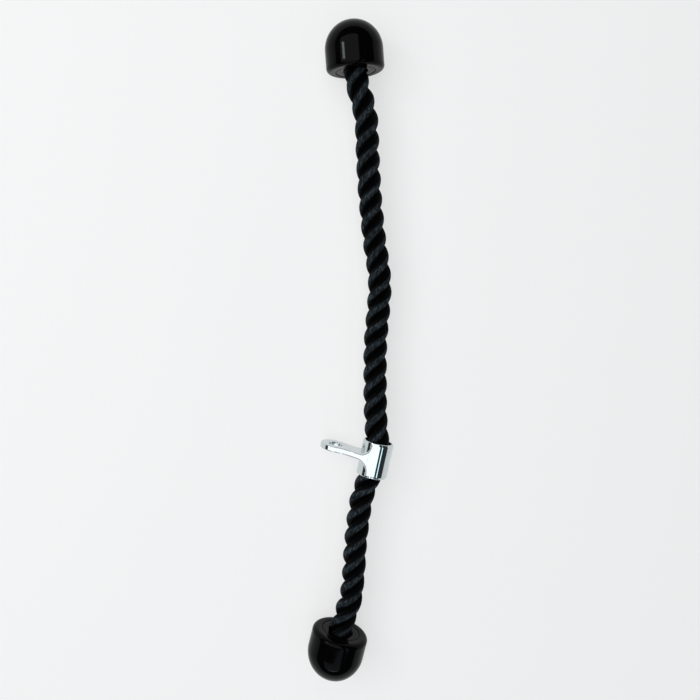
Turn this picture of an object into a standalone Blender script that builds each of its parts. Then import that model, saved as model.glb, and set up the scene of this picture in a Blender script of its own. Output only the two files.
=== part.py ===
# Rope attachment for a cable machine: a thick rope with a domed cap on each end
# and a plated fitting, a sleeve with an eye, that turns on the rope.
# Units are metres and +Z is up. The attachment lies on the plane z = 0 with the
# rope along Y: it rests on the caps and on the eye, and the stiff rope spans between
# them. The origin is under the middle of the caps and the fitting.

import bpy
import bmesh
import numpy as np
from math import acos, asin, atan2, cos, hypot, pi, radians, sin, sqrt
from mathutils import Matrix, Vector

# Fits
seat_gap = 0.0003           # between pieces that rest on each other
swivel_clearance = 0.0016   # between the rope and the sleeve that turns on it
overrun = 0.002             # how far a cutter runs past what it cuts

# Rope
rope_radius = 0.0125
rope_bend_length = 0.072    # stretch beside the sleeve that takes the fold
rope_step = 0.030           # between the points along a stretch
rope_end_step = 0.001       # last short step, which keeps an end face square
rope_sides_resolution = 4   # twelve sides
route_samples = 40          # along the curve between two points of the route

# Fitting: the sleeve, and the eye on its neck
sleeve_wall = 0.0021
sleeve_length = 0.037
sleeve_edge = 0.0012        # rounding of the sleeve's ends
sleeve_turn = radians(12.2)  # the sleeve's axis from +Y towards +X
rope_turn = radians(8)      # the rope's, which leans in the loose sleeve
sleeve_place = (0.0256, -0.1077)
eye_clearance = 0.0132      # clear of the sleeve
eye_radius = 0.0158
eye_hole_radius = 0.00725
plate_thickness = 0.006     # of the eye and its neck, along the rope
neck_half_width = 0.0125
neck_radius = 0.035         # hollow sides of the neck, seen along the rope
web_radius = 0.0125         # hollow sides of the neck, seen from above
web_rise = 0.0025           # where the hollow reaches the sleeve, from its axis
web_proud = 0.00025         # how far the neck stands over the sleeve
sleeve_segments = 48
eye_segments = 40
neck_segments = 8
edge_segments = 3
sleeve_stub = 0.001         # straight rope outside each end of the sleeve

# Caps: a shell with a dome, and the ring set into its mouth
cap_radius = 0.030
cap_side_length = 0.022     # straight side, from the face to the dome
cap_rim_radius = 0.0045
mouth_share = 0.457         # of the room between the rope and the cap's outside
cavity_share = 0.314
ring_thickness = 0.006
ring_inset = 0.0005
cavity_corner = 0.008
cavity_room = 0.0071        # behind the rope's fused end
cap_segments = 48
dome_segments = 10
rim_segments = 4

# Hardware on the rope's end, inside the cap
washer_clearance = 0.0005   # in the cavity
washer_thickness = 0.0025
ferrule_length = 0.014
ferrule_wall = 0.0022
fused_swell = 0.0022        # how much the fused end stands over the rope
fused_length = 0.005
ring_edge = 0.0006          # easing of the outer edges
washer_edge = 0.0003
ferrule_edge = 0.0006
fused_edge = 0.0012
hardware_segments = 40
smooth_angle = radians(30)

# Caps on the ground: the middle of each face, and the direction from the face to the dome
upper_face = Vector((0.00526, 0.29306, cap_radius))
upper_turn = radians(4.2)
lower_face = Vector((-0.01032, -0.29364, cap_radius))
lower_turn = radians(13.9)
upper_direction = Vector((-sin(upper_turn), cos(upper_turn), 0))
lower_direction = Vector((-sin(lower_turn), -cos(lower_turn), 0))

# Route of the rope between the sleeve and each cap, chosen by hand
upper_route = [
    (0.0286, -0.0709, 0.0298),
    (0.0275, -0.0473, 0.0292),
    (0.0269, -0.0147, 0.0284),
    (0.0275, 0.0169, 0.0278),
    (0.0286, 0.0462, 0.0274),
    (0.0286, 0.0713, 0.0272),
    (0.0273, 0.0919, 0.0272),
    (0.0248, 0.1171, 0.0273),
    (0.0215, 0.1543, 0.0277),
    (0.0189, 0.1911, 0.0283),
    (0.0167, 0.2189, 0.0288),
    (0.0141, 0.2443, 0.0293),
    (0.0102, 0.2647, 0.0297),
    (0.0066, 0.2808, 0.0299),
]
lower_route = [
    (0.0183, -0.1477, 0.0300),
    (0.0116, -0.1694, 0.0300),
    (0.0067, -0.1977, 0.0300),
    (0.0034, -0.2311, 0.0300),
    (0.0000, -0.2583, 0.0300),
    (-0.0054, -0.2759, 0.0300),
]


# Worked out from the values above
bore_radius = rope_radius + swivel_clearance
hole_for_rope = rope_radius + seat_gap
sleeve_radius = bore_radius + sleeve_wall
sleeve_height = cap_radius
sleeve_centre = Vector((*sleeve_place, sleeve_height))
rope_direction = Vector((sin(rope_turn), cos(rope_turn), 0))
centre_half = sleeve_length / 2 + sleeve_stub
eye_reach = sleeve_radius + eye_clearance + eye_radius
eye_drop = asin((sleeve_height - eye_radius - seat_gap) / eye_reach)
cap_room = cap_radius - rope_radius
mouth_radius = rope_radius + mouth_share * cap_room
cavity_radius = rope_radius + cavity_share * cap_room
washer_radius = cavity_radius - washer_clearance
ferrule_radius = hole_for_rope + ferrule_wall
fused_radius = rope_radius + fused_swell
ring_end = ring_inset + ring_thickness
washer_start = ring_end + seat_gap
washer_end = washer_start + washer_thickness
ferrule_start = washer_end + seat_gap
ferrule_end = ferrule_start + ferrule_length
fused_start = ferrule_end + seat_gap
fused_end = fused_start + fused_length
cavity_depth = fused_end + cavity_room


def remove_everything():
    for old in list(bpy.data.objects):
        bpy.data.objects.remove(old, do_unlink=True)


def material(name, colour, roughness, metallic=0.0):
    made = bpy.data.materials.new(name)
    made.use_nodes = True
    shader = made.node_tree.nodes["Principled BSDF"]
    shader.inputs["Base Color"].default_value = (*colour, 1.0)
    shader.inputs["Roughness"].default_value = roughness
    shader.inputs["Metallic"].default_value = metallic
    made.diffuse_color = (*colour, 1.0)
    return made


def show(name, data, surface, place=Matrix(), holder=None):
    # An object at a place in the world, carried by an empty on its joint if it moves
    made = bpy.data.objects.new(name, data)
    bpy.context.collection.objects.link(made)
    if surface:
        data.materials.append(surface)
    if holder:
        made.parent = holder
        place = holder.matrix_basis.inverted() @ place
    made.matrix_basis = place
    return made


def joint_empty(name, place):
    made = bpy.data.objects.new(name, None)
    bpy.context.collection.objects.link(made)
    made.matrix_basis = place
    return made


def finish_mesh(name, bm):
    bmesh.ops.recalc_face_normals(bm, faces=bm.faces)
    mesh = bpy.data.meshes.new(name)
    bm.to_mesh(mesh)
    bm.free()
    mesh.shade_smooth()
    mesh.set_sharp_from_angle(angle=smooth_angle)
    return mesh


def turned(name, profile, segments):
    # A closed profile of (radius, height) points turned about Z; a point on the axis is a pole
    bm = bmesh.new()
    rings = []
    for radius, height in profile:
        if radius == 0:
            rings.append([bm.verts.new((0, 0, height))])
            continue
        angles = [2 * pi * k / segments for k in range(segments)]
        rings.append([bm.verts.new((radius * cos(a), radius * sin(a), height)) for a in angles])
    for ring, following in zip(rings, rings[1:] + rings[:1]):
        if len(ring) == 1 and len(following) == 1:
            continue
        for k in range(segments):
            corners = [ring[k % len(ring)], ring[(k + 1) % len(ring)]]
            corners += [following[(k + 1) % len(following)], following[k % len(following)]]
            bm.faces.new(list(dict.fromkeys(corners)))
    return finish_mesh(name, bm)


def prism(name, outline, axis, low, high):
    # An outline pulled straight along Y or Z between two heights
    def corner(point, height):
        a, b = point
        return (a, height, b) if axis == "Y" else (a, b, height)

    bm = bmesh.new()
    bottom = [bm.verts.new(corner(p, low)) for p in outline]
    top = [bm.verts.new(corner(p, high)) for p in outline]
    bm.faces.new(bottom)
    bm.faces.new(top)
    for k in range(len(outline)):
        n = (k + 1) % len(outline)
        bm.faces.new((bottom[k], bottom[n], top[n], top[k]))
    return finish_mesh(name, bm)


def arc(centre, radius, start, end, segments):
    angles = [start + (end - start) * k / segments for k in range(segments + 1)]
    return [(centre[0] + radius * cos(a), centre[1] + radius * sin(a)) for a in angles]


# Rope

def smooth_route(start, start_direction, route, end, end_direction):
    # A smooth curve through hand-chosen points, square to what it meets at both ends.
    # It is a cubic between each pair of points, given as closely spaced points.
    points = np.array([start, *route, end], dtype=float)
    spans = np.linalg.norm(np.diff(points, axis=0), axis=1)
    slopes = np.empty_like(points)
    slopes[1:-1] = (points[2:] - points[:-2]) / (spans[1:] + spans[:-1])[:, None]
    slopes[0] = start_direction
    slopes[-1] = end_direction
    fine = []
    for k, span in enumerate(spans):
        t = np.linspace(0, 1, route_samples, endpoint=k == len(spans) - 1)[:, None]
        fine.append(
            (2 * t**3 - 3 * t**2 + 1) * points[k]
            + (t**3 - 2 * t**2 + t) * span * slopes[k]
            + (3 * t**2 - 2 * t**3) * points[k + 1]
            + (t**3 - t**2) * span * slopes[k + 1]
        )
    return np.concatenate(fine)


def along(line):
    return np.concatenate([[0], np.cumsum(np.linalg.norm(np.diff(line, axis=0), axis=1))])


def at(line, distance):
    far = along(line)
    return Vector([np.interp(distance, far, line[:, k]) for k in range(3)])


def rope_stretch(name, line, low, high, holder=None):
    # A plain tube along part of a line, from one distance along it to another
    count = max(1, round((high - low - 2 * rope_end_step) / rope_step))
    inner = np.linspace(low + rope_end_step, high - rope_end_step, count + 1)
    distances = [low, *inner, high]
    origin = holder.matrix_basis.translation if holder else Vector()
    curve = bpy.data.curves.new(name, "CURVE")
    curve.dimensions = "3D"
    curve.bevel_depth = rope_radius
    curve.bevel_resolution = rope_sides_resolution
    curve.use_fill_caps = True
    spline = curve.splines.new("POLY")
    spline.points.add(len(distances) - 1)
    for point, distance in zip(spline.points, distances):
        point.co = (*(at(line, distance) - origin), 1)
    return show(name, curve, rope_black, Matrix.Translation(origin), holder)


# Fitting

def eye_outline():
    # Seen along the rope: the sleeve's round, the neck's hollow sides and the eye's round
    web_round = sleeve_radius + web_proud
    hollow_height = neck_half_width + neck_radius
    hollow_reach = eye_reach - sqrt((eye_radius + neck_radius) ** 2 - hollow_height**2)
    between = atan2(hollow_height, hollow_reach)
    spacing = hypot(hollow_reach, hollow_height)
    tangent = between + acos(min(1, (web_round + neck_radius) / spacing))
    to_eye = atan2(-hollow_height, eye_reach - hollow_reach)
    hollow = (hollow_reach, hollow_height)
    upper = arc(hollow, neck_radius, tangent + pi, 2 * pi + to_eye, neck_segments)
    eye = arc((eye_reach, 0), eye_radius, pi + to_eye, -pi - to_eye, eye_segments)
    lower = [(u, -w) for u, w in reversed(upper)]
    sleeve = arc((0, 0), web_round, -tangent, tangent - 2 * pi, sleeve_segments)
    return upper + eye[1:-1] + lower + sleeve


def neck_outline():
    # Seen from above: the sleeve's length, drawn in by a hollow on each side to the plate
    half_length = sleeve_length / 2 - sleeve_edge
    half_plate = plate_thickness / 2
    centre = (web_rise + web_radius, half_plate + web_radius)
    far_end = eye_reach + eye_radius + overrun
    side = [(0, half_length), (web_rise, half_length)]
    side += arc(centre, web_radius, pi, 1.5 * pi, neck_segments)
    side += [(far_end, half_plate)]
    return [(u, -v) for u, v in side] + side[::-1]


def sleeve_solid():
    half = sleeve_length / 2
    corner = sleeve_radius - sleeve_edge
    edge = arc((corner, half - sleeve_edge), sleeve_edge, pi / 2, 0, edge_segments)
    profile = [(0, half)] + edge + [(r, -h) for r, h in reversed(edge)] + [(0, -half)]
    return turned("sleeve", profile, sleeve_segments)


def cutter(name, mesh, place):
    made = show(name, mesh, None, place)
    made.hide_render = True
    made.display_type = "WIRE"
    return made


def apply_boolean(target, operation, tool):
    step = target.modifiers.new(operation.lower(), "BOOLEAN")
    step.operation = operation
    step.object = tool


def eye_clamp(holder, place):
    # Local axes: X towards the eye, Y along the rope, Z up
    along_rope = Matrix.Rotation(-pi / 2, 4, "X")
    height = sleeve_radius + overrun
    length = sleeve_length / 2 + overrun
    eye_plate = prism("eye_clamp", eye_outline(), "Y", -length, length)
    neck = cutter("neck_cutter", prism("neck", neck_outline(), "Z", -height, height), place)
    sleeve = cutter("sleeve_adder", sleeve_solid(), place @ along_rope)
    bore_profile = [(0, length), (bore_radius, length), (bore_radius, -length), (0, -length)]
    bore = cutter("bore_cutter", turned("bore", bore_profile, sleeve_segments), place @ along_rope)
    hole_profile = [(0, length), (eye_hole_radius, length), (eye_hole_radius, -length), (0, -length)]
    to_hole = place @ Matrix.Translation((eye_reach, 0, 0)) @ along_rope
    hole = cutter("hole_cutter", turned("hole", hole_profile, eye_segments), to_hole)
    made = show("eye_clamp", eye_plate, chrome, place, holder)
    apply_boolean(made, "INTERSECT", neck)
    apply_boolean(made, "UNION", sleeve)
    apply_boolean(made, "DIFFERENCE", hole)
    apply_boolean(made, "DIFFERENCE", bore)
    return made


# Caps, each in its own axes: the face at z = 0 and the dome towards +Z

def cap_shell_profile():
    rim = arc((cap_radius - cap_rim_radius, cap_rim_radius), cap_rim_radius, -pi / 2, 0, rim_segments)
    dome = arc((0, cap_side_length), cap_radius, 0, pi / 2, dome_segments)
    dome[-1] = (0, cap_side_length + cap_radius)
    corner_centre = (cavity_radius - cavity_corner, cavity_depth - cavity_corner)
    corner = arc(corner_centre, cavity_corner, pi / 2, 0, rim_segments)
    inside = [(0, cavity_depth)] + corner
    inside += [(cavity_radius, washer_start), (mouth_radius, washer_start)]
    return rim + dome + inside + [(mouth_radius, 0)]


def tube_profile(inner, outer, low, high, edge):
    # A ring's cross-section with its outer edges eased
    return [
        (inner, low),
        (outer - edge, low),
        (outer, low + edge),
        (outer, high - edge),
        (outer - edge, high),
        (inner, high),
    ]


def rope_end_profile():
    # Plain rope up to the ferrule's end, then swollen where heat has fused it
    return [
        (0, 0),
        (rope_radius, 0),
        (rope_radius, fused_start),
        (fused_radius - fused_edge, fused_start),
        (fused_radius, fused_start + fused_edge),
        (fused_radius, fused_end - fused_edge),
        (fused_radius - fused_edge, fused_end),
        (0, fused_end),
    ]


def cap(side, face, direction, holder):
    place = Matrix.Translation(face) @ direction.to_track_quat("Z", "Y").to_matrix().to_4x4()
    ring = tube_profile(hole_for_rope, mouth_radius - seat_gap, ring_inset, ring_end, ring_edge)
    washer = tube_profile(hole_for_rope, washer_radius, washer_start, washer_end, washer_edge)
    ferrule = tube_profile(hole_for_rope, ferrule_radius, ferrule_start, ferrule_end, ferrule_edge)
    pieces = [
        ("cap_shell", cap_shell_profile(), cap_segments, cap_black),
        ("cap_ring", ring, hardware_segments, cap_black),
        ("stop_washer", washer, hardware_segments, steel),
        ("ferrule", ferrule, hardware_segments, steel),
        ("rope_end", rope_end_profile(), hardware_segments, rope_black),
    ]
    for name, profile, segments, surface in pieces:
        mesh = turned(f"{name}_{side}", profile, segments)
        show(f"{name}_{side}", mesh, surface, place, holder)


remove_everything()

rope_black = material("rope_black", (0.012, 0.012, 0.014), 0.8)
cap_black = material("cap_black", (0.010, 0.010, 0.011), 0.2)
chrome = material("chrome", (0.78, 0.79, 0.80), 0.08, 1.0)
steel = material("steel", (0.55, 0.55, 0.56), 0.35, 1.0)

# The rope's line, from the sleeve's middle to each cap
upper_exit = sleeve_centre + rope_direction * centre_half
lower_exit = sleeve_centre - rope_direction * centre_half
straight_line = np.array([lower_exit, upper_exit], dtype=float)
upper_line = smooth_route(upper_exit, rope_direction, upper_route, upper_face, upper_direction)
lower_line = smooth_route(lower_exit, -rope_direction, lower_route, lower_face, lower_direction)

# Empties on the joints: the two folds beside the sleeve, and the fitting's turn.
# The fitting is turned down until the eye meets the ground.
upper_fold = joint_empty("upper_fold", Matrix.Translation(at(upper_line, rope_bend_length / 2)))
lower_fold = joint_empty("lower_fold", Matrix.Translation(at(lower_line, rope_bend_length / 2)))
to_eye = Matrix.Rotation(pi - sleeve_turn, 4, "Z") @ Matrix.Rotation(eye_drop, 4, "Y")
clamp_place = Matrix.Translation(sleeve_centre) @ to_eye
clamp_swivel = joint_empty("clamp_swivel", clamp_place)

rope_stretch("rope_centre", straight_line, 0, 2 * centre_half)
for side, line, fold in (("upper", upper_line, upper_fold), ("lower", lower_line, lower_fold)):
    length = along(line)[-1]
    rope_stretch(f"rope_bend_{side}", line, seat_gap, rope_bend_length)
    rope_stretch(f"rope_{side}", line, rope_bend_length + seat_gap, length - seat_gap, fold)
    print(side, "fold at", [round(x, 5) for x in fold.matrix_basis.translation])
    print(side, "rope from the sleeve's middle to the cap", round(centre_half + length, 4))

eye_clamp(clamp_swivel, clamp_place)
cap("upper", upper_face, upper_direction, upper_fold)
cap("lower", lower_face, lower_direction, lower_fold)
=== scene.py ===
import bpy
import numpy as np
from mathutils import Matrix, Vector


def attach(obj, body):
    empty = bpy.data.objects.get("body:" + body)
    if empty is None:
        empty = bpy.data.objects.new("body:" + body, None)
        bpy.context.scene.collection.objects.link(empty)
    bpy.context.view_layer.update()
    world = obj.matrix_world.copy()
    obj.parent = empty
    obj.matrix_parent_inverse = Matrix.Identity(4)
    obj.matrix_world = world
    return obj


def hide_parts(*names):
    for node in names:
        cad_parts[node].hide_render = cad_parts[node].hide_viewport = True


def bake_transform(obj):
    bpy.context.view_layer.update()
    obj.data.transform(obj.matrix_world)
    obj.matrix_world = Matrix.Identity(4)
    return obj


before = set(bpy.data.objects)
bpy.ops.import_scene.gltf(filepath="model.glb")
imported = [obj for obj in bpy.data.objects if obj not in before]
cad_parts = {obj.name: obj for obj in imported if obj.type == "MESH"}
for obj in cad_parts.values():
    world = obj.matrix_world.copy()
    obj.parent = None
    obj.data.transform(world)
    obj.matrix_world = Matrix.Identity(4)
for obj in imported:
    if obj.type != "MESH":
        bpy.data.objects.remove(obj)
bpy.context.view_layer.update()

# Looks of a rope attachment for a cable machine: a laid rope, two domed caps and a chrome
# fitting that turns on the rope. Lengths are metres, unless a note says otherwise.

mm = 0.001
zAxis = np.array([0.0, 0.0, 1.0])
sides = ("upper", "lower")


# Camera, as the photograph was taken: from above, with the top cap at the top

cameraLook = {
    "place": (-0.0005, 0.08796, 0.773),
    "leanDegrees": -2.886,
    "lens": 36.72,               # millimetres, as the sensor's width
    "sensor": 36.0,
    "shiftUp": -0.06,            # share of the picture's width
    "clipStart": 0.01,
}


def makeCamera(look):
    data = bpy.data.cameras.new("photoCamera")
    data.sensor_width = look["sensor"]
    data.lens = look["lens"]
    data.shift_y = look["shiftUp"]
    data.clip_start = look["clipStart"]
    camera = bpy.data.objects.new("photoCamera", data)
    camera.location = look["place"]
    camera.rotation_euler = (np.radians(look["leanDegrees"]), 0, 0)
    bpy.context.scene.collection.objects.link(camera)
    bpy.context.scene.camera = camera


makeCamera(cameraLook)
bpy.context.scene.view_settings.view_transform = "Standard"
print("camera made")


# Meshes from arrays

def unit(rows):
    # Each row divided by its own length
    return rows / np.linalg.norm(rows, axis=-1, keepdims=True)


def meshFrom(name, points, faces, uvs=None, smoothDegrees=40):
    # A smooth mesh, which is sharp where its faces turn by more than an angle
    mesh = bpy.data.meshes.new(name)
    mesh.from_pydata(points.tolist(), [], [face for part in faces for face in part.tolist()])
    if uvs is not None:
        layer = mesh.uv_layers.new(name="lie")
        layer.uv.foreach_set("vector", uvs.astype(np.float32).ravel())
    mesh.shade_smooth()
    if smoothDegrees:
        mesh.set_sharp_from_angle(angle=np.radians(smoothDegrees))
    made = bpy.data.objects.new(name, mesh)
    bpy.context.scene.collection.objects.link(made)
    return made


def gridFaces(rows, columns, wrapRows=False):
    # Quads between neighbouring rows of a grid whose columns close on themselves
    r = np.arange(rows if wrapRows else rows - 1)[:, None]
    c = np.arange(columns)[None, :]
    row, nextRow = r * columns, (r + 1) % rows * columns
    nextColumn = (c + 1) % columns
    quads = [row + c, row + nextColumn, nextRow + nextColumn, nextRow + c]
    return np.stack(quads, axis=-1).reshape(-1, 4)


def poleFans(rows, columns):
    # Triangles from two poles, which come after a grid's points, to its first and last row
    k = np.arange(columns)
    n = (k + 1) % columns
    pole = np.full(columns, rows * columns)
    lastRow = (rows - 1) * columns
    first = np.stack([pole, n, k], axis=-1)
    last = np.stack([pole + 1, lastRow + k, lastRow + n], axis=-1)
    return [first, last]


def turnedPiece(name, profile, place, segments):
    # A profile of (radius, height) turned about Z: point = (r cos a, r sin a, h). It is closed
    # on itself, or it starts and ends on the axis, where a fan of triangles closes each pole.
    profile = np.array(profile, dtype=float)
    hasPoles = profile[0, 0] == 0
    ringPart = profile[1:-1] if hasPoles else profile
    a = np.arange(segments) * 2 * np.pi / segments
    r, h = ringPart[:, :1], np.broadcast_to(ringPart[:, 1:], (len(ringPart), segments))
    points = np.stack([r * np.cos(a), r * np.sin(a), h], axis=-1).reshape(-1, 3)
    faces = [gridFaces(len(ringPart), segments, wrapRows=not hasPoles)]
    if hasPoles:
        points = np.concatenate([points, [(0, 0, profile[0, 1]), (0, 0, profile[-1, 1])]])
        faces += poleFans(len(ringPart), segments)
    turn = np.array(place.to_3x3())
    return meshFrom(name, points @ turn.T + np.array(place.translation), faces)


def arcPoints(centre, radius, startDegrees, endDegrees, count):
    # Centre plus radius times (cos a, sin a)
    a = np.radians(np.linspace(startDegrees, endDegrees, count))
    return np.stack([centre[0] + radius * np.cos(a), centre[1] + radius * np.sin(a)], axis=-1)


# Where the pieces lie, and the rope's route between them

layout = {
    "sleeveCentre": np.array([0.0256, -0.1077, 0.0300]),
    "sleeveTurnDegrees": 12.2,
    "ropeAside": 0.0009,         # the rope lies against the sleeve's wall, on the eye's side
    "ropeExit": 0.0195,          # from the sleeve's middle, where the rope is free
    "bendLength": 0.072,         # of the stretch beside the sleeve; its end point is worked out below but not used
    "upperFace": np.array([0.00526, 0.29306, 0.030]),
    "upperTurnDegrees": 4.2,
    "lowerFace": np.array([-0.01032, -0.29364, 0.030]),
    "lowerTurnDegrees": 13.9,
    "upperRoute": [
        (0.0281, -0.0893, 0.0300),
        (0.0267, -0.0709, 0.0298),
        (0.0260, -0.0473, 0.0292),
        (0.0257, -0.0147, 0.0284),
        (0.0264, 0.0169, 0.0278),
        (0.0290, 0.0462, 0.0274),
        (0.0306, 0.0713, 0.0272),
        (0.0292, 0.0919, 0.0272),
        (0.0255, 0.1171, 0.0273),
        (0.0214, 0.1543, 0.0277),
        (0.0187, 0.1911, 0.0283),
        (0.0174, 0.2189, 0.0288),
        (0.0163, 0.2443, 0.0293),
        (0.0119, 0.2647, 0.0297),
        (0.0070, 0.2808, 0.0299),
    ],
    "lowerRoute": [
        (0.0203, -0.1255, 0.0300),
        (0.0169, -0.1350, 0.0300),
        (0.0125, -0.1477, 0.0300),
        (0.0087, -0.1694, 0.0300),
        (0.0054, -0.1977, 0.0300),
        (0.0033, -0.2311, 0.0300),
        (0.0002, -0.2583, 0.0300),
        (-0.0054, -0.2759, 0.0300),
    ],
}


def headed(turnDegrees):
    # A level direction, turned from +Y towards +X
    turn = np.radians(turnDegrees)
    return np.array([np.sin(turn), np.cos(turn), 0.0])


alongSleeve = headed(layout["sleeveTurnDegrees"])
capOutward = {
    "upper": headed(-layout["upperTurnDegrees"]),
    "lower": headed(layout["lowerTurnDegrees"]) * (-1, -1, 1),
}


# Rope: three strands of yarns, one piece on each side of the sleeve's middle

ropeLook = {
    "diameter": 0.025,
    "strands": 3,
    "strandCircle": 0.0069,      # the strands' middles lie on it
    "strandRadius": 0.0056,
    "layLength": 0.0577,         # one turn of a strand
    "layLead": [                 # distance from the sleeve's middle, degrees ahead of an even lay
        (-0.155, -25.0),
        (-0.03, -30.0),
        (0.04, -43.0),
        (0.23, -42.0),
        (0.33, -65.0),
        (0.40, -95.0),
    ],
    "yarns": 20,                 # seen round a strand
    "yarnPoints": 6,
    "yarnDepth": 0.00042,
    "yarnPower": 0.8,            # under 1 makes a yarn's top flatter
    "yarnUneven": 0.00008,
    "swellShare": 0.5,           # a strand's slow swell, as a share of the unevenness
    "swellLength": 0.011,        # for one radian of it
    "swellShift": 2.1,           # radians from one strand to the next
    "ringStep": 0.0017,
    "crownLeanDegrees": 13.0,    # the painted highlight lies a little to one side of a strand's top, the side that light falls on
    "mapStep": 31,               # yarn widths between the strands on the map
    "inCap": 0.0236,             # how far the strands go on behind the cap's face
    "pathPoints": 90,
    "seeds": {"upper": 11, "lower": 12},
}


def smoothLine(start, startDirection, route, end, endDirection, steps=40):
    # Through each pair of points a cubic, whose slope at a point is that of the line between
    # its two neighbours, and at the two ends the direction given
    points = np.array([start, *route, end], dtype=float)
    spans = np.linalg.norm(np.diff(points, axis=0), axis=1)
    slopes = np.empty_like(points)
    slopes[1:-1] = (points[2:] - points[:-2]) / (spans[1:] + spans[:-1])[:, None]
    slopes[0], slopes[-1] = startDirection, endDirection
    t = np.linspace(0, 1, steps, endpoint=False)[None, :, None]
    a, b = points[:-1, None], points[1:, None]
    da, db = (spans[:, None] * slopes[:-1])[:, None], (spans[:, None] * slopes[1:])[:, None]
    cubic = (2 * t**3 - 3 * t**2 + 1) * a + (t**3 - 2 * t**2 + t) * da
    cubic = cubic + (3 * t**2 - 2 * t**3) * b + (t**3 - t**2) * db
    return np.concatenate([cubic.reshape(-1, 3), points[-1:]])


def straightOn(point, direction, length, steps=40):
    # Points on from one that is left out
    return point + direction * np.linspace(0, length, steps)[1:, None]


def lengthAlong(line):
    # Distance from the line's start to each of its points
    return np.concatenate([[0], np.cumsum(np.linalg.norm(np.diff(line, axis=0), axis=1))])


def pointsAt(line, far, wanted):
    # Points of the line at the wanted distances
    return np.stack([np.interp(wanted, far, line[:, k]) for k in range(3)], axis=-1)


def wholeRopeLine(lay, look):
    # From inside the lower cap to inside the upper one, with the distances from the sleeve's
    # middle, which are below zero on the lower side
    middle = lay["sleeveCentre"] + lay["ropeAside"] * np.cross(zAxis, alongSleeve)
    halves = {}
    for side, along in (("upper", alongSleeve), ("lower", -alongSleeve)):
        face, outward = lay[f"{side}Face"], capOutward[side]
        free = smoothLine(middle, along, lay[f"{side}Route"], face, outward)
        halves[side] = np.concatenate([free, straightOn(face, outward, look["inCap"])])
    upper, lower = halves["upper"], halves["lower"]
    far = np.concatenate([-lengthAlong(lower)[::-1], lengthAlong(upper)[1:]])
    return np.concatenate([lower[::-1], upper[1:]]), far


def strandMap(middle, strand, columns, look):
    # Of each quad's corners: yarn number across, and length in yarn widths along. The fans at
    # a strand's two ends lie at zero.
    rows = len(middle)
    yarnWidth = 2 * np.pi * look["strandRadius"] / look["yarns"]
    across = (np.arange(columns) / look["yarnPoints"])[None, :] + look["mapStep"] * strand
    along = (lengthAlong(middle) / yarnWidth)[:, None]
    shape = (rows - 1, columns)
    u0 = np.broadcast_to(across, shape)
    u1 = np.broadcast_to(across + 1 / look["yarnPoints"], shape)
    v0, v1 = np.broadcast_to(along[:-1], shape), np.broadcast_to(along[1:], shape)
    quads = np.stack([u0, v0, u1, v0, u1, v1, u0, v1], axis=-1).reshape(-1, 2)
    fanCorners = 2 * 3 * columns
    return np.concatenate([quads, np.zeros((fanCorners, 2))])


def laidRope(name, line, far, low, high, look, seed):
    # A strand's middle is the rope's line plus a turn round it: c(s) + R (n cos a + b sin a),
    # with a growing by one turn in each lay. The strand is a tube round that, and its yarns are
    # ridges that turn the other way, so that they lie nearly along the rope on its outside.
    # The grid follows the yarns: angle = 2 pi column / columns + twist s.
    rows = int(np.ceil((high - low) / look["ringStep"])) + 1
    s = np.linspace(low, high, rows)
    centre = pointsAt(line, far, s)
    tangent = unit(np.gradient(centre, s, axis=0))
    normal = unit(zAxis - (tangent @ zAxis)[:, None] * tangent)
    binormal = np.cross(tangent, normal)
    leadPlaces, leadDegrees = zip(*look["layLead"])
    lead = np.radians(np.interp(s, leadPlaces, leadDegrees))
    slope = 2 * np.pi / look["layLength"]
    layAngle = np.arctan(slope * look["strandCircle"])
    yarnTwist = -np.tan(layAngle) / (look["strandRadius"] * np.cos(layAngle))
    columns = look["yarns"] * look["yarnPoints"]
    column = np.arange(columns)
    turn = 2 * np.pi * column[None, :] / columns + (yarnTwist * s)[:, None]
    ridge = np.abs(np.sin(np.pi * column / look["yarnPoints"])) ** look["yarnPower"]
    # Painted highlight share: 1 on a strand's top, leaning to the lit side, and 0 where the
    # strand turns in to its neighbours, which is left as painted shade
    paintedHighlight = np.maximum(np.cos(turn - np.radians(look["crownLeanDegrees"])), 0)
    random = np.random.default_rng(seed)
    points, faces, uvs, paintedHighlights = [], [], [], []
    for strand in range(look["strands"]):
        a = 2 * np.pi * strand / look["strands"] + lead + slope * s
        outwards = np.cos(a)[:, None] * normal + np.sin(a)[:, None] * binormal
        middle = centre + look["strandCircle"] * outwards
        ahead = unit(np.gradient(middle, s, axis=0))
        outwards = unit(outwards - np.sum(outwards * ahead, axis=1, keepdims=True) * ahead)
        beside = np.cross(ahead, outwards)
        uneven = random.normal(0, look["yarnUneven"], look["yarns"])
        uneven = np.repeat(uneven, look["yarnPoints"])
        swell = np.sin(s / look["swellLength"] + look["swellShift"] * strand)
        swell = look["swellShare"] * look["yarnUneven"] * swell
        radius = look["strandRadius"] - look["yarnDepth"] * (1 - ridge)[None, :]
        radius = radius + (uneven * ridge)[None, :] + swell[:, None]
        cosTurn, sinTurn = np.cos(turn)[..., None], np.sin(turn)[..., None]
        around = cosTurn * outwards[:, None] + sinTurn * beside[:, None]
        surface = middle[:, None] + radius[..., None] * around
        first = sum(len(part) for part in points)
        faces += [part + first for part in (gridFaces(rows, columns), *poleFans(rows, columns))]
        points.append(np.concatenate([surface.reshape(-1, 3), middle[:1], middle[-1:]]))
        paintedHighlights += [paintedHighlight.ravel(), np.zeros(2)]
        uvs.append(strandMap(middle, strand, columns, look))
    made = meshFrom(name, np.concatenate(points), faces, np.concatenate(uvs), smoothDegrees=0)
    # Each point's share of the painted highlight, read by the rope's material
    attribute = made.data.attributes.new("paintedHighlight", "FLOAT", "POINT")
    attribute.data.foreach_set("value", np.concatenate(paintedHighlights).astype(np.float32))
    return made


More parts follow.
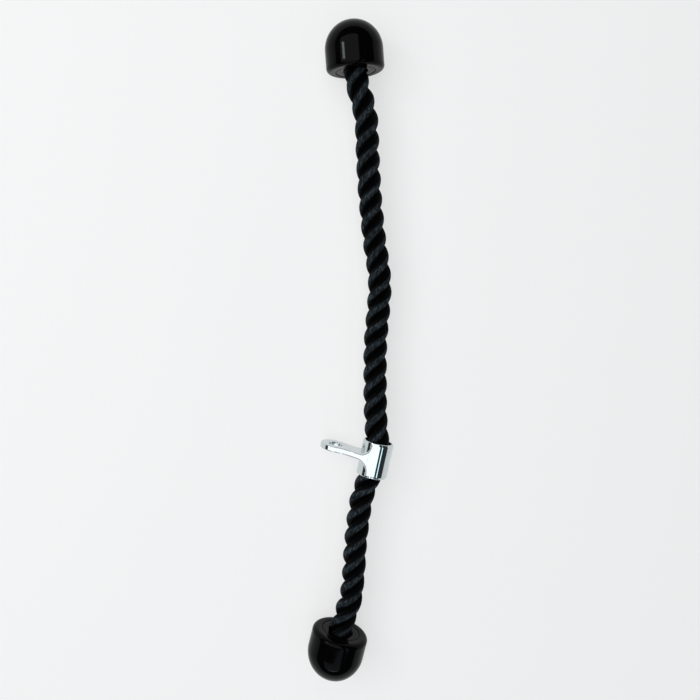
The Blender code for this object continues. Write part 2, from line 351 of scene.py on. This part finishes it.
ropeLine, ropeFar = wholeRopeLine(layout, ropeLook)
bendEnd = layout["ropeExit"] + layout["bendLength"]
ropes = {}
for side, sign, ropeEnd in (("upper", 1, ropeFar[-1]), ("lower", -1, ropeFar[0])):
    span = (min(0, ropeEnd), max(0, ropeEnd))
    seed = ropeLook["seeds"][side]
    piece = laidRope(f"laid_rope_{side}", ropeLine, ropeFar, *span, ropeLook, seed)
    out, bent = pointsAt(ropeLine, ropeFar, sign * np.array([layout["ropeExit"], bendEnd]))
    out, bent = tuple(out.tolist()), tuple(bent.tolist())
    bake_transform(piece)
    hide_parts("rope_centre", f"rope_bend_{side}", f"rope_{side}")
    ropes[side] = piece
print("rope made")


# Caps: a domed shell, and the ring set into its mouth

capLook = {
    "radius": 0.030,
    "domeStart": 0.022,          # from the face, like the heights below
    "rim": 0.0045,
    "mouth": 0.0205,
    "mouthEdge": 0.0006,
    "ringIn": 0.0003,
    "ringEnd": 0.0065,
    "ringHole": 0.0128,
    "ringEdge": 0.0009,
    "cavity": 0.018,
    "cavityEnd": 0.036,
    "cavityCorner": 0.008,
    "gap": 0.0003,               # round the ring and behind it
    "domePoints": 34,
    "sidePoints": 8,
    "rimPoints": 16,
    "cornerPoints": 12,
    "edgePoints": 6,
    "segments": 160,
}


def capPlace(face, outward):
    # Local Z points out of the dome, from the middle of the cap's face
    turn = Vector(outward).to_track_quat("Z", "Y").to_matrix().to_4x4()
    return Matrix.Translation(Vector(face)) @ turn


def shellProfile(look):
    # From the dome's top down the outside, over the rim and into the mouth, to the cavity's
    # end, and then turned round, so that the faces point outwards
    r, start, rim = look["radius"], look["domeStart"], look["rim"]
    mouth, edge, bend = look["mouth"], look["mouthEdge"], look["cavityCorner"]
    cavity, end = look["cavity"], look["cavityEnd"]
    dome = arcPoints((0, start), r, 90, 0, look["domePoints"])
    dome[0] = (0, start + r)
    heights = np.linspace(start, rim, look["sidePoints"] + 2)[1:-1]
    straight = np.stack([np.full(len(heights), r), heights], axis=-1)
    rimArc = arcPoints((r - rim, rim), rim, 0, -90, look["rimPoints"])
    lip = arcPoints((mouth + edge, edge), edge, -90, -180, look["edgePoints"])
    seat = look["ringEnd"] + look["gap"]
    step = [(mouth, seat), (cavity, seat)]
    corner = arcPoints((cavity - bend, end - bend), bend, 0, 90, look["cornerPoints"])
    return np.concatenate([dome, straight, rimArc, lip, step, corner, [(0, end)]])[::-1]


def ringProfile(look):
    # A rectangle with its four corners rounded, closed on itself
    edge, count = look["ringEdge"], look["edgePoints"]
    left, right = look["ringHole"] + edge, look["mouth"] - look["gap"] - edge
    low, high = look["ringIn"] + edge, look["ringEnd"] - edge
    corners = [
        arcPoints((left, low), edge, 180, 270, count),
        arcPoints((right, low), edge, 270, 360, count),
        arcPoints((right, high), edge, 0, 90, count),
        arcPoints((left, high), edge, 90, 180, count),
    ]
    return np.concatenate(corners)


shells, rings = {}, {}
for side in sides:
    place = capPlace(layout[f"{side}Face"], capOutward[side])
    segments = capLook["segments"]
    shells[side] = turnedPiece(f"cap_dome_{side}", shellProfile(capLook), place, segments)
    rings[side] = turnedPiece(f"cap_mouth_ring_{side}", ringProfile(capLook), place, segments)
    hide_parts(f"cap_shell_{side}")
    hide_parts(f"cap_ring_{side}")
    for piece in (shells[side], rings[side]):
        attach(piece, f"{side}_half")
print("caps made")


# Fitting: sleeve, neck and eye in one casting

fittingLook = {
    "sleeveRadius": 15.95,       # this dictionary is in millimetres
    "sleeveHalf": 18.5,
    "sleeveEdge": 1.0,
    "bore": 14.1,
    "boreEdge": 0.45,
    "padRadius": 16.45,          # the neck runs out over the sleeve
    "padHalf": 17.3,
    "padStart": 2.5,
    "padFillet": 0.5,
    "hollow": 12.5,              # of the neck, seen from above
    "plateHalf": 3.0,
    "plateEdge": 1.3,
    "neckStart": 4.0,
    "neckHalf": 12.5,
    "neckHollow": 35.0,          # of the neck, seen along the rope
    "flankSlope": 0.97,          # cosine of the flank's tilt
    "eyeReach": 45.2,
    "eyeRadius": 15.8,
    "groundGap": 0.3,            # the eye hangs down until it meets the ground
    "hole": 7.25,
    "holeEdge": 1.5,
    "cell": 0.42,                # of the grid that the surface is drawn on
    "gridLow": (-17.6, -19.8, -17.6),
    "gridHigh": (62.4, 19.8, 17.6),
    "slopeStep": 0.01,
    "leastSlope": 0.05,          # squared, which keeps a step short where the slope fades
    "settleSteps": 12,
}


def joinRound(a, b, r):
    # Two distances as one shape, with a hollow round of radius r between them
    return np.maximum(r, np.minimum(a, b)) - np.hypot(np.maximum(r - a, 0), np.maximum(r - b, 0))


def commonRound(a, b, r):
    # What two shapes have in common, with the edge between them rounded
    return np.minimum(-r, np.maximum(a, b)) + np.hypot(np.maximum(r + a, 0), np.maximum(r + b, 0))


def neckHalfHeight(x, look, leastSquare=0.01):
    # Half the neck's height seen along the rope: the sleeve's round, a straight flank and a
    # hollow, whose root is kept real past the hollow's end
    pad, hollow, eye = look["padRadius"], look["neckHollow"], look["eyeRadius"]
    top = look["neckHalf"] + hollow
    hollowX = look["eyeReach"] - np.sqrt((eye + hollow) ** 2 - top**2)
    between = np.arctan2(top, hollowX)
    flank = between + np.arccos((pad + hollow) / np.hypot(hollowX, top))
    padX, padZ = pad * np.cos(flank), pad * np.sin(flank)
    flankX, flankZ = hollowX - hollow * np.cos(flank), top - hollow * np.sin(flank)
    share = np.clip((x - padX) / (flankX - padX), 0, 1)
    onPad = np.sqrt(np.maximum(pad**2 - np.clip(x, -pad, padX) ** 2, 0))
    underRoot = np.maximum(hollow**2 - (np.maximum(x, flankX) - hollowX) ** 2, leastSquare)
    onHollow = top - np.sqrt(underRoot)
    onFlank = padZ + share * (flankZ - padZ)
    return np.where(x < padX, onPad, np.where(x < flankX, onFlank, onHollow))


def neckEnd(look):
    # Where the neck's hollow meets the eye's round
    hollow, eye = look["neckHollow"], look["eyeRadius"]
    across = np.sqrt((eye + hollow) ** 2 - (look["neckHalf"] + hollow) ** 2)
    return look["eyeReach"] - across * eye / (eye + hollow)


def fittingDistance(p, look):
    # Below zero inside the metal. Axes: X towards the eye, Y along the sleeve, Z up.
    x, y, z = p[..., 0], np.abs(p[..., 1]), np.abs(p[..., 2])
    fromAxis = np.hypot(x, z)
    fromEye = np.hypot(x - look["eyeReach"], z)
    fromSleeve, pastSleeve = fromAxis - look["sleeveRadius"], y - look["sleeveHalf"]
    sleeve = commonRound(fromSleeve, pastSleeve, look["sleeveEdge"])
    neck = np.maximum((z - neckHalfHeight(x, look)) * look["flankSlope"], x - neckEnd(look))
    neck = np.where(x < look["neckStart"], fromAxis - look["padRadius"], neck)
    outline = np.minimum(neck, fromEye - look["eyeRadius"])
    fromAbove = joinRound(x - look["padStart"], y - look["plateHalf"], look["hollow"])
    fromAbove = np.maximum(fromAbove, y - look["padHalf"])
    plate = commonRound(outline, fromAbove, look["plateEdge"])
    metal = joinRound(sleeve, plate, look["padFillet"])
    metal = commonRound(metal, look["bore"] - fromAxis, look["boreEdge"])
    return commonRound(metal, look["hole"] - fromEye, look["holeEdge"])


def slopeOf(distance, p, look):
    # How fast the distance grows along each axis
    step = look["slopeStep"]
    steps = np.eye(3) * step
    rises = [distance(p + d, look) - distance(p - d, look) for d in steps]
    return np.stack(rises, axis=-1) / (2 * step)


def surfaceOf(distance, look):
    # A point in each cell of a grid that the surface passes, moved onto the surface along the
    # slope, and a quad round each edge of the grid that crosses it
    cell = look["cell"]
    axes = [np.arange(a, b, cell) for a, b in zip(look["gridLow"], look["gridHigh"])]
    corners = np.stack(np.meshgrid(*axes, indexing="ij"), axis=-1)
    inside = distance(corners, look) < 0
    counts = inside.astype(int)  # becomes the number of a cell's eight corners that are inside
    for axis in range(3):
        ends = np.moveaxis(counts, axis, 0)
        counts = np.moveaxis(ends[1:] + ends[:-1], 0, axis)
    crossed = (counts > 0) & (counts < 8)
    number = np.full(crossed.shape, -1)
    number[crossed] = np.arange(crossed.sum())
    points = corners[:-1, :-1, :-1][crossed] + cell / 2
    for _ in range(look["settleSteps"]):
        slope = slopeOf(distance, points, look)
        size = np.maximum(np.sum(slope**2, axis=-1), look["leastSlope"])
        step = (distance(points, look) / size)[:, None] * slope
        points = points - np.clip(step, -cell, cell)
    quads = []
    for axis in range(3):
        ahead = np.moveaxis(inside, axis, 0)
        cells = np.moveaxis(number, axis, 0)
        change = ahead[1:, 1:-1, 1:-1] != ahead[:-1, 1:-1, 1:-1]
        leaving = ahead[:-1, 1:-1, 1:-1][change]
        around = [cells[:, :-1, :-1], cells[:, 1:, :-1], cells[:, 1:, 1:], cells[:, :-1, 1:]]
        quad = np.stack([part[change] for part in around], axis=-1)
        if axis == 1:  # here the other two axes come in the other order
            leaving = ~leaving
        quads.append(np.where(leaving[:, None], quad, quad[:, ::-1]))
    return points, np.concatenate(quads)


def fittingTurn(lay, look):
    # Local X points to the eye, which lies to the left of the rope and rests on the ground
    fall = lay["sleeveCentre"][2] / mm - look["eyeRadius"] - look["groundGap"]
    turn = Matrix.Rotation(np.pi - np.radians(lay["sleeveTurnDegrees"]), 3, "Z")
    drop = Matrix.Rotation(np.arcsin(fall / look["eyeReach"]), 3, "Y")
    return np.array(turn @ drop)


def makeFitting(name, lay, look):
    # Where the distance is zero, with normals along its slope
    points, quads = surfaceOf(fittingDistance, look)
    normals = unit(slopeOf(fittingDistance, points, look))
    turn = fittingTurn(lay, look)
    placed = points * mm @ turn.T + lay["sleeveCentre"]
    made = meshFrom(name, placed, [quads], smoothDegrees=0)
    made.data.normals_split_custom_set_from_vertices((normals @ turn.T).tolist())
    return made


fitting = makeFitting("eye_fitting", layout, fittingLook)
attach(fitting, "clamp")
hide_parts("eye_clamp")
print("fitting made, quads", len(fitting.data.polygons))


# Shader nodes

def addNode(tree, kind, settings=None, values=None):
    node = tree.nodes.new(kind)
    for key, value in (settings or {}).items():
        setattr(node, key, value)
    for key, value in (values or {}).items():
        node.inputs[key].default_value = value
    return node


def addMath(tree, operation, values=None):
    return addNode(tree, "ShaderNodeMath", {"operation": operation}, values)


def addRange(tree, low, high, smooth=False):
    # 0 up to low, 1 from high on
    settings = {"interpolation_type": "SMOOTHSTEP"} if smooth else {}
    return addNode(tree, "ShaderNodeMapRange", settings, {"From Min": low, "From Max": high})


def connect(tree, *links):
    # Each link: a node, its output, the next node, its input
    for node, output, nextNode, socket in links:
        tree.links.new(node.outputs[output], nextNode.inputs[socket])


def newGroup(name, inputs, outputs):
    group = bpy.data.node_groups.new(name, "ShaderNodeTree")
    for label, kind in inputs.items():
        group.interface.new_socket(label, in_out="INPUT", socket_type=kind)
    for label in outputs:
        group.interface.new_socket(label, in_out="OUTPUT", socket_type="NodeSocketFloat")
    return group, group.nodes.new("NodeGroupInput"), group.nodes.new("NodeGroupOutput")


wearLook = {
    "scuffMapping": {"Scale": (1.0, 0.08, 1.0), "Rotation": (0.3, 0.2, 0.9)},
    "scuffNoise": {"Detail": 3.0, "Roughness": 0.6},
    "scuffRange": (0.56, 0.74),
    "cloudNoise": {"Detail": 5.0, "Roughness": 0.55},
    "cloudRange": (0.35, 0.7),
    "grainNoise": {"Scale": 420.0, "Detail": 2.0},
}


def wearGroup(look):
    # Fine scuffs, faint clouding and a small height, worked out from a position
    inputs = {
        "Vector": "NodeSocketVector",
        "Scuff Scale": "NodeSocketFloat",
        "Cloud Scale": "NodeSocketFloat",
    }
    group, start, end = newGroup("fineWear", inputs, ("Scuffs", "Clouds", "Height"))
    stretch = addNode(group, "ShaderNodeMapping", values=look["scuffMapping"])
    scuffNoise = addNode(group, "ShaderNodeTexNoise", values=look["scuffNoise"])
    scuffs = addRange(group, *look["scuffRange"])
    cloudNoise = addNode(group, "ShaderNodeTexNoise", values=look["cloudNoise"])
    clouds = addRange(group, *look["cloudRange"])
    grainNoise = addNode(group, "ShaderNodeTexNoise", values=look["grainNoise"])
    connect(
        group,
        (start, "Vector", stretch, "Vector"),
        (stretch, "Vector", scuffNoise, "Vector"),
        (start, "Scuff Scale", scuffNoise, "Scale"),
        (scuffNoise, "Fac", scuffs, "Value"),
        (scuffs, "Result", end, "Scuffs"),
        (start, "Vector", cloudNoise, "Vector"),
        (start, "Cloud Scale", cloudNoise, "Scale"),
        (cloudNoise, "Fac", clouds, "Value"),
        (clouds, "Result", end, "Clouds"),
        (start, "Vector", grainNoise, "Vector"),
        (grainNoise, "Fac", end, "Height"),
    )
    return group


fibreLook = {
    "fibreMapping": {"Rotation": (0, 0, 0.35), "Scale": (6.0, 1.0, 1.0)},
    "fibreNoise": {"Scale": 1.0, "Detail": 2.0, "Roughness": 0.6},
    "fibreRange": (0.38, 0.66),
    "yarnMapping": {"Scale": (1.0, 0.42, 1.0)},
    "yarnNoise": {"Scale": 0.85, "Detail": 3.0, "Roughness": 0.7},
    "yarnRange": (0.44, 0.64),
    "yarnHeight": 1.6,           # where a fibre's height is 1
}


def fibreGroup(look):
    # Filaments of a yarn from the rope's own map: yarn number across, yarn widths along
    inputs = {"Vector": "NodeSocketVector"}
    group, start, end = newGroup("yarnFibres", inputs, ("Fibres", "Yarn Shade", "Height"))
    twist = addNode(group, "ShaderNodeMapping", values=look["fibreMapping"])
    fibreNoise = addNode(group, "ShaderNodeTexNoise", values=look["fibreNoise"])
    fibres = addRange(group, *look["fibreRange"])
    lengthen = addNode(group, "ShaderNodeMapping", values=look["yarnMapping"])
    yarnNoise = addNode(group, "ShaderNodeTexNoise", values=look["yarnNoise"])
    yarnShade = addRange(group, *look["yarnRange"])
    height = addMath(group, "MULTIPLY_ADD", {1: look["yarnHeight"]})
    connect(
        group,
        (start, "Vector", twist, "Vector"),
        (twist, "Vector", fibreNoise, "Vector"),
        (fibreNoise, "Fac", fibres, "Value"),
        (fibres, "Result", end, "Fibres"),
        (start, "Vector", lengthen, "Vector"),
        (lengthen, "Vector", yarnNoise, "Vector"),
        (yarnNoise, "Fac", yarnShade, "Value"),
        (yarnShade, "Result", end, "Yarn Shade"),
        (yarnNoise, "Fac", height, 0),
        (fibreNoise, "Fac", height, 2),
        (height, "Value", end, "Height"),
    )
    return group


fineWear = wearGroup(wearLook)
yarnFibres = fibreGroup(fibreLook)


# Materials. A finish has two colours, two roughnesses and the height of its grain, and the
# sockets whose value is the same all over.

def newMaterial(name, sockets):
    made = bpy.data.materials.new(name)
    made.use_nodes = True
    shader = made.node_tree.nodes["Principled BSDF"]
    for key, value in sockets.items():
        shader.inputs[key].default_value = value
    return made, made.node_tree, shader


def mixColours(tree, mask, colours, target):
    # Two colours mixed by a mask and led to a colour socket
    mix = addNode(tree, "ShaderNodeMix", {"data_type": "RGBA"})
    mix.inputs["A"].default_value = (*colours[0], 1)
    mix.inputs["B"].default_value = (*colours[1], 1)
    tree.links.new(mask, mix.inputs["Factor"])
    tree.links.new(mix.outputs["Result"], target)


def dressShader(tree, shader, finish, colourMask, roughMask, height):
    # Base colour and roughness go from the finish's first value to its second by a mask
    mixColours(tree, colourMask, finish["colours"], shader.inputs["Base Color"])
    first, second = finish["rough"]
    rough = addNode(tree, "ShaderNodeMapRange", values={"To Min": first, "To Max": second})
    tree.links.new(roughMask, rough.inputs["Value"])
    bump = addNode(tree, "ShaderNodeBump", values={"Distance": finish["grain"], "Strength": 1.0})
    tree.links.new(height, bump.inputs["Height"])
    connect(tree, (rough, "Result", shader, "Roughness"), (bump, "Normal", shader, "Normal"))


def wornMaterial(name, finish):
    # A hard finish, whose colour, roughness and height follow outputs of the wear group
    made, tree, shader = newMaterial(name, finish["sockets"])
    place = addNode(tree, "ShaderNodeTexCoord")
    wear = addNode(tree, "ShaderNodeGroup", {"node_tree": fineWear}, finish["scales"])
    connect(tree, (place, "Object", wear, "Vector"))
    dressShader(tree, shader, finish, *[wear.outputs[label] for label in finish["follows"]])
    return made


def setMaterial(piece, surface):
    piece.data.materials.clear()
    piece.data.materials.append(surface)


ropeFinish = {
    "sockets": {
        "Specular IOR Level": 0.03,
        "Sheen Weight": 0.01,
        "Sheen Roughness": 0.4,
        "Sheen Tint": (0.75, 0.85, 1.0, 1),
    },
    # the rope's near black, which also stands as painted shade between the strands, and the
    # blue-grey of the painted highlight on their tops
    "colours": ((0.0008, 0.0009, 0.0011), (0.102, 0.134, 0.160)),
    # where the painted highlight starts and where it is full, on the highlight share
    "highlightStart": 0.69,
    "highlightFull": 0.98,
    "highlightEven": 0.07,           # share of the painted highlight's colour that every yarn within the highlight has
    "rough": (0.38, 0.26),
    "grain": 0.00045,
}


def ropeMaterial(name, finish):
    # Painted highlight mask = (even + (1 - even) fibres yarn shade) times the highlight share: a
    # speckled painted highlight, with painted yarn glints, on the strands' tops, and the near
    # black of painted shade on their sides and between them
    made, tree, shader = newMaterial(name, finish["sockets"])
    even = finish["highlightEven"]
    place = addNode(tree, "ShaderNodeUVMap", {"uv_map": "lie"})
    fibres = addNode(tree, "ShaderNodeGroup", {"node_tree": yarnFibres})
    both = addMath(tree, "MULTIPLY")
    speckle = addMath(tree, "MULTIPLY_ADD", {1: 1 - even, 2: even})
    paintedHighlight = addNode(tree, "ShaderNodeAttribute", {"attribute_name": "paintedHighlight"})
    onHighlight = addRange(tree, finish["highlightStart"], finish["highlightFull"], smooth=True)
    lit = addMath(tree, "MULTIPLY")
    connect(
        tree,
        (place, "UV", fibres, "Vector"),
        (fibres, "Fibres", both, 0),
        (fibres, "Yarn Shade", both, 1),
        (both, "Value", speckle, 0),
        (paintedHighlight, "Fac", onHighlight, "Value"),
        (speckle, "Value", lit, 0),
        (onHighlight, "Result", lit, 1),
    )
    masks = (lit.outputs["Value"], fibres.outputs["Fibres"], fibres.outputs["Height"])
    dressShader(tree, shader, finish, *masks)
    return made


capFinish = {
    "sockets": {"Specular IOR Level": 0.06},
    "scales": {"Scuff Scale": 700.0, "Cloud Scale": 45.0},
    "follows": ("Scuffs", "Clouds", "Height"),  # for the colour, the roughness and the height
    "colours": ((0.0009, 0.0009, 0.0011), (0.003, 0.003, 0.0034)),
    "rough": (0.04, 0.13),
    "grain": 0.000012,
}

chromeFinish = {
    "sockets": {"Metallic": 1.0},
    "scales": {"Scuff Scale": 1100.0, "Cloud Scale": 90.0},
    "follows": ("Clouds", "Scuffs", "Height"),
    "colours": ((0.58, 0.63, 0.64), (0.63, 0.68, 0.69)),
    "rough": (0.03, 0.11),
    "grain": 0.000010,
}

zincFinish = {
    "sockets": {"Metallic": 1.0},
    "scales": {"Scuff Scale": 1100.0, "Cloud Scale": 90.0},
    "follows": ("Clouds", "Scuffs", "Height"),
    "colours": ((0.42, 0.42, 0.43), (0.60, 0.60, 0.61)),
    "rough": (0.26, 0.46),
    "grain": 0.00003,
}

laidYarn = ropeMaterial("blackLaidYarn", ropeFinish)
glossBlack = wornMaterial("glossBlackMoulding", capFinish)
chrome = wornMaterial("brightChrome", chromeFinish)
zincSteel = wornMaterial("zincPlatedSteel", zincFinish)

for side in sides:
    setMaterial(ropes[side], laidYarn)
    setMaterial(shells[side], glossBlack)
    setMaterial(rings[side], glossBlack)
    for node in (f"stop_washer_{side}", f"ferrule_{side}"):
        setMaterial(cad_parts[node], zincSteel)
setMaterial(fitting, chrome)
print("materials made")


# Fused rope ends, inside the caps

fusedLook = {
    "ropeRadius": 0.0125,
    "start": 0.0239,             # from the cap's face
    "length": 0.005,
    "swell": 0.0022,
    "edge": 0.0014,
    "edgePoints": 6,
    "segments": 96,
}

fusedFinish = {
    "sockets": {"Specular IOR Level": 0.4},
    "scales": {"Scuff Scale": 300.0, "Cloud Scale": 140.0},
    "follows": ("Clouds", "Scuffs", "Clouds"),
    "colours": ((0.004, 0.004, 0.005), (0.02, 0.018, 0.017)),
    "rough": (0.3, 0.6),
    "grain": 0.0003,
}


def fusedProfile(look):
    # A disc with both its edges rounded
    outer, low = look["ropeRadius"] + look["swell"], look["start"]
    high, edge = low + look["length"], look["edge"]
    lowEdge = arcPoints((outer - edge, low + edge), edge, -90, 0, look["edgePoints"])
    highEdge = arcPoints((outer - edge, high - edge), edge, 0, 90, look["edgePoints"])
    return np.concatenate([[(0, low)], lowEdge, highEdge, [(0, high)]])


fusedBlack = wornMaterial("fusedRopeEnd", fusedFinish)
for side in sides:
    place = capPlace(layout[f"{side}Face"], capOutward[side])
    profile = fusedProfile(fusedLook)
    end = turnedPiece(f"fused_end_{side}", profile, place, fusedLook["segments"])
    setMaterial(end, fusedBlack)
    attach(end, f"{side}_half")
    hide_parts(f"rope_end_{side}")
print("fused ends made")


# Floor, world and lights

stageLook = {
    "floorHalf": 12.0,
    "floorColour": (0.93, 0.93, 0.93),
    "floorRough": 0.9,
    "floorOwnWhite": 0.6,        # share of the floor's white that no shadow darkens
    "worldColours": ((0.90, 0.91, 0.92), (0.036, 0.039, 0.042)),
    "worldFade": (0.10, 0.24),   # sine of the height where the first turns into the second
    "lamps": {
        # length along Y and breadth in metres, power in watts
        "overheadPanel": {
            "place": (-1.05, 0.62, 1.75),
            "aim": (-1.05, 0.62, 0.0),
            "length": 2.75,
            "breadth": 3.10,
            "power": 41.0,
            "colour": (1.0, 1.0, 1.0),
        },
        "lowerPanel": {
            "place": (-0.66, -2.05, 1.75),
            "aim": (-0.66, -2.05, 0.0),
            "length": 1.7,
            "breadth": 2.4,
            "power": 14.0,
            "colour": (0.86, 0.95, 1.0),
        },
        "lowerStrip": {
            "place": (-0.55, -2.98, 1.75),
            "aim": (-0.55, -2.98, 0.0),
            "length": 0.07,
            "breadth": 1.5,
            "power": 7.0,
            "colour": (0.90, 0.97, 1.0),
        },
        "rightStrip": {
            "place": (0.92, -0.60, 1.40),
            "aim": (0.0, -0.1, 0.0),
            "length": 1.5,
            "breadth": 0.20,
            "power": 1.7,
            "colour": (0.62, 0.92, 1.0),
        },
        "windowGlint": {
            "place": (-1.60, 0.90, 1.70),
            "aim": (0.0, 0.30, 0.0),
            "length": 0.15,
            "breadth": 0.35,
            "power": 4.2,
            "colour": (0.90, 0.97, 1.0),
        },
    },
}


def makeFloor(look):
    # Seen by the camera or in a mirror, the floor gives off a share of its white by itself
    h = look["floorHalf"]
    points = np.array([(-h, -h, 0), (h, -h, 0), (h, h, 0), (-h, h, 0)], dtype=float)
    floor = meshFrom("paleFloor", points, [np.array([[0, 1, 2, 3]])])
    sockets = {
        "Base Color": (*look["floorColour"], 1),
        "Roughness": look["floorRough"],
        "Specular IOR Level": 0.0,
    }
    surface, tree, shader = newMaterial("paleFloor", sockets)
    white = addNode(tree, "ShaderNodeEmission", values={"Color": (1, 1, 1, 1), "Strength": 1.0})
    ray = addNode(tree, "ShaderNodeLightPath")
    direct = addMath(tree, "ADD")
    seen = addNode(tree, "ShaderNodeMath", {"operation": "ADD", "use_clamp": True})
    part = addMath(tree, "MULTIPLY", {1: look["floorOwnWhite"]})
    both = addNode(tree, "ShaderNodeMixShader")
    connect(
        tree,
        (ray, "Is Camera Ray", direct, 0),
        (ray, "Is Glossy Ray", direct, 1),
        (direct, "Value", seen, 0),
        (ray, "Is Transmission Ray", seen, 1),
        (seen, "Value", part, 0),
        (part, "Value", both, 0),
        (shader, "BSDF", both, 1),
        (white, "Emission", both, 2),
        (both, "Shader", tree.nodes["Material Output"], "Surface"),
    )
    setMaterial(floor, surface)


def makeWorld(look):
    # Pale low down, where a side view shows it, and dim above
    world = bpy.data.worlds.new("studio")
    bpy.context.scene.world = world
    world.use_nodes = True
    tree = world.node_tree
    place = addNode(tree, "ShaderNodeTexCoord")
    split = addNode(tree, "ShaderNodeSeparateXYZ")
    height = addRange(tree, *look["worldFade"], smooth=True)
    connect(tree, (place, "Generated", split, "Vector"), (split, "Z", height, "Value"))
    target = tree.nodes["Background"].inputs["Color"]
    mixColours(tree, height.outputs["Result"], look["worldColours"], target)


def makeLamp(name, look):
    # A panel that faces its aim and whose length is turned to lie along Y
    data = bpy.data.lights.new(name, "AREA")
    data.shape = "RECTANGLE"
    data.size, data.size_y = look["length"], look["breadth"]
    data.energy = look["power"]
    data.color = look["colour"]
    lamp = bpy.data.objects.new(name, data)
    lamp.location = look["place"]
    lamp.rotation_mode = "QUATERNION"
    beam = (Vector(look["place"]) - Vector(look["aim"])).normalized()
    across = Vector((0, 1, 0)).cross(beam).normalized()
    axes = Matrix((beam.cross(across), -across, beam)).transposed()
    lamp.rotation_quaternion = axes.to_quaternion()
    bpy.context.scene.collection.objects.link(lamp)


makeFloor(stageLook)
makeWorld(stageLook)
for name, lampLook in stageLook["lamps"].items():
    makeLamp(name, lampLook)
print("stage made")
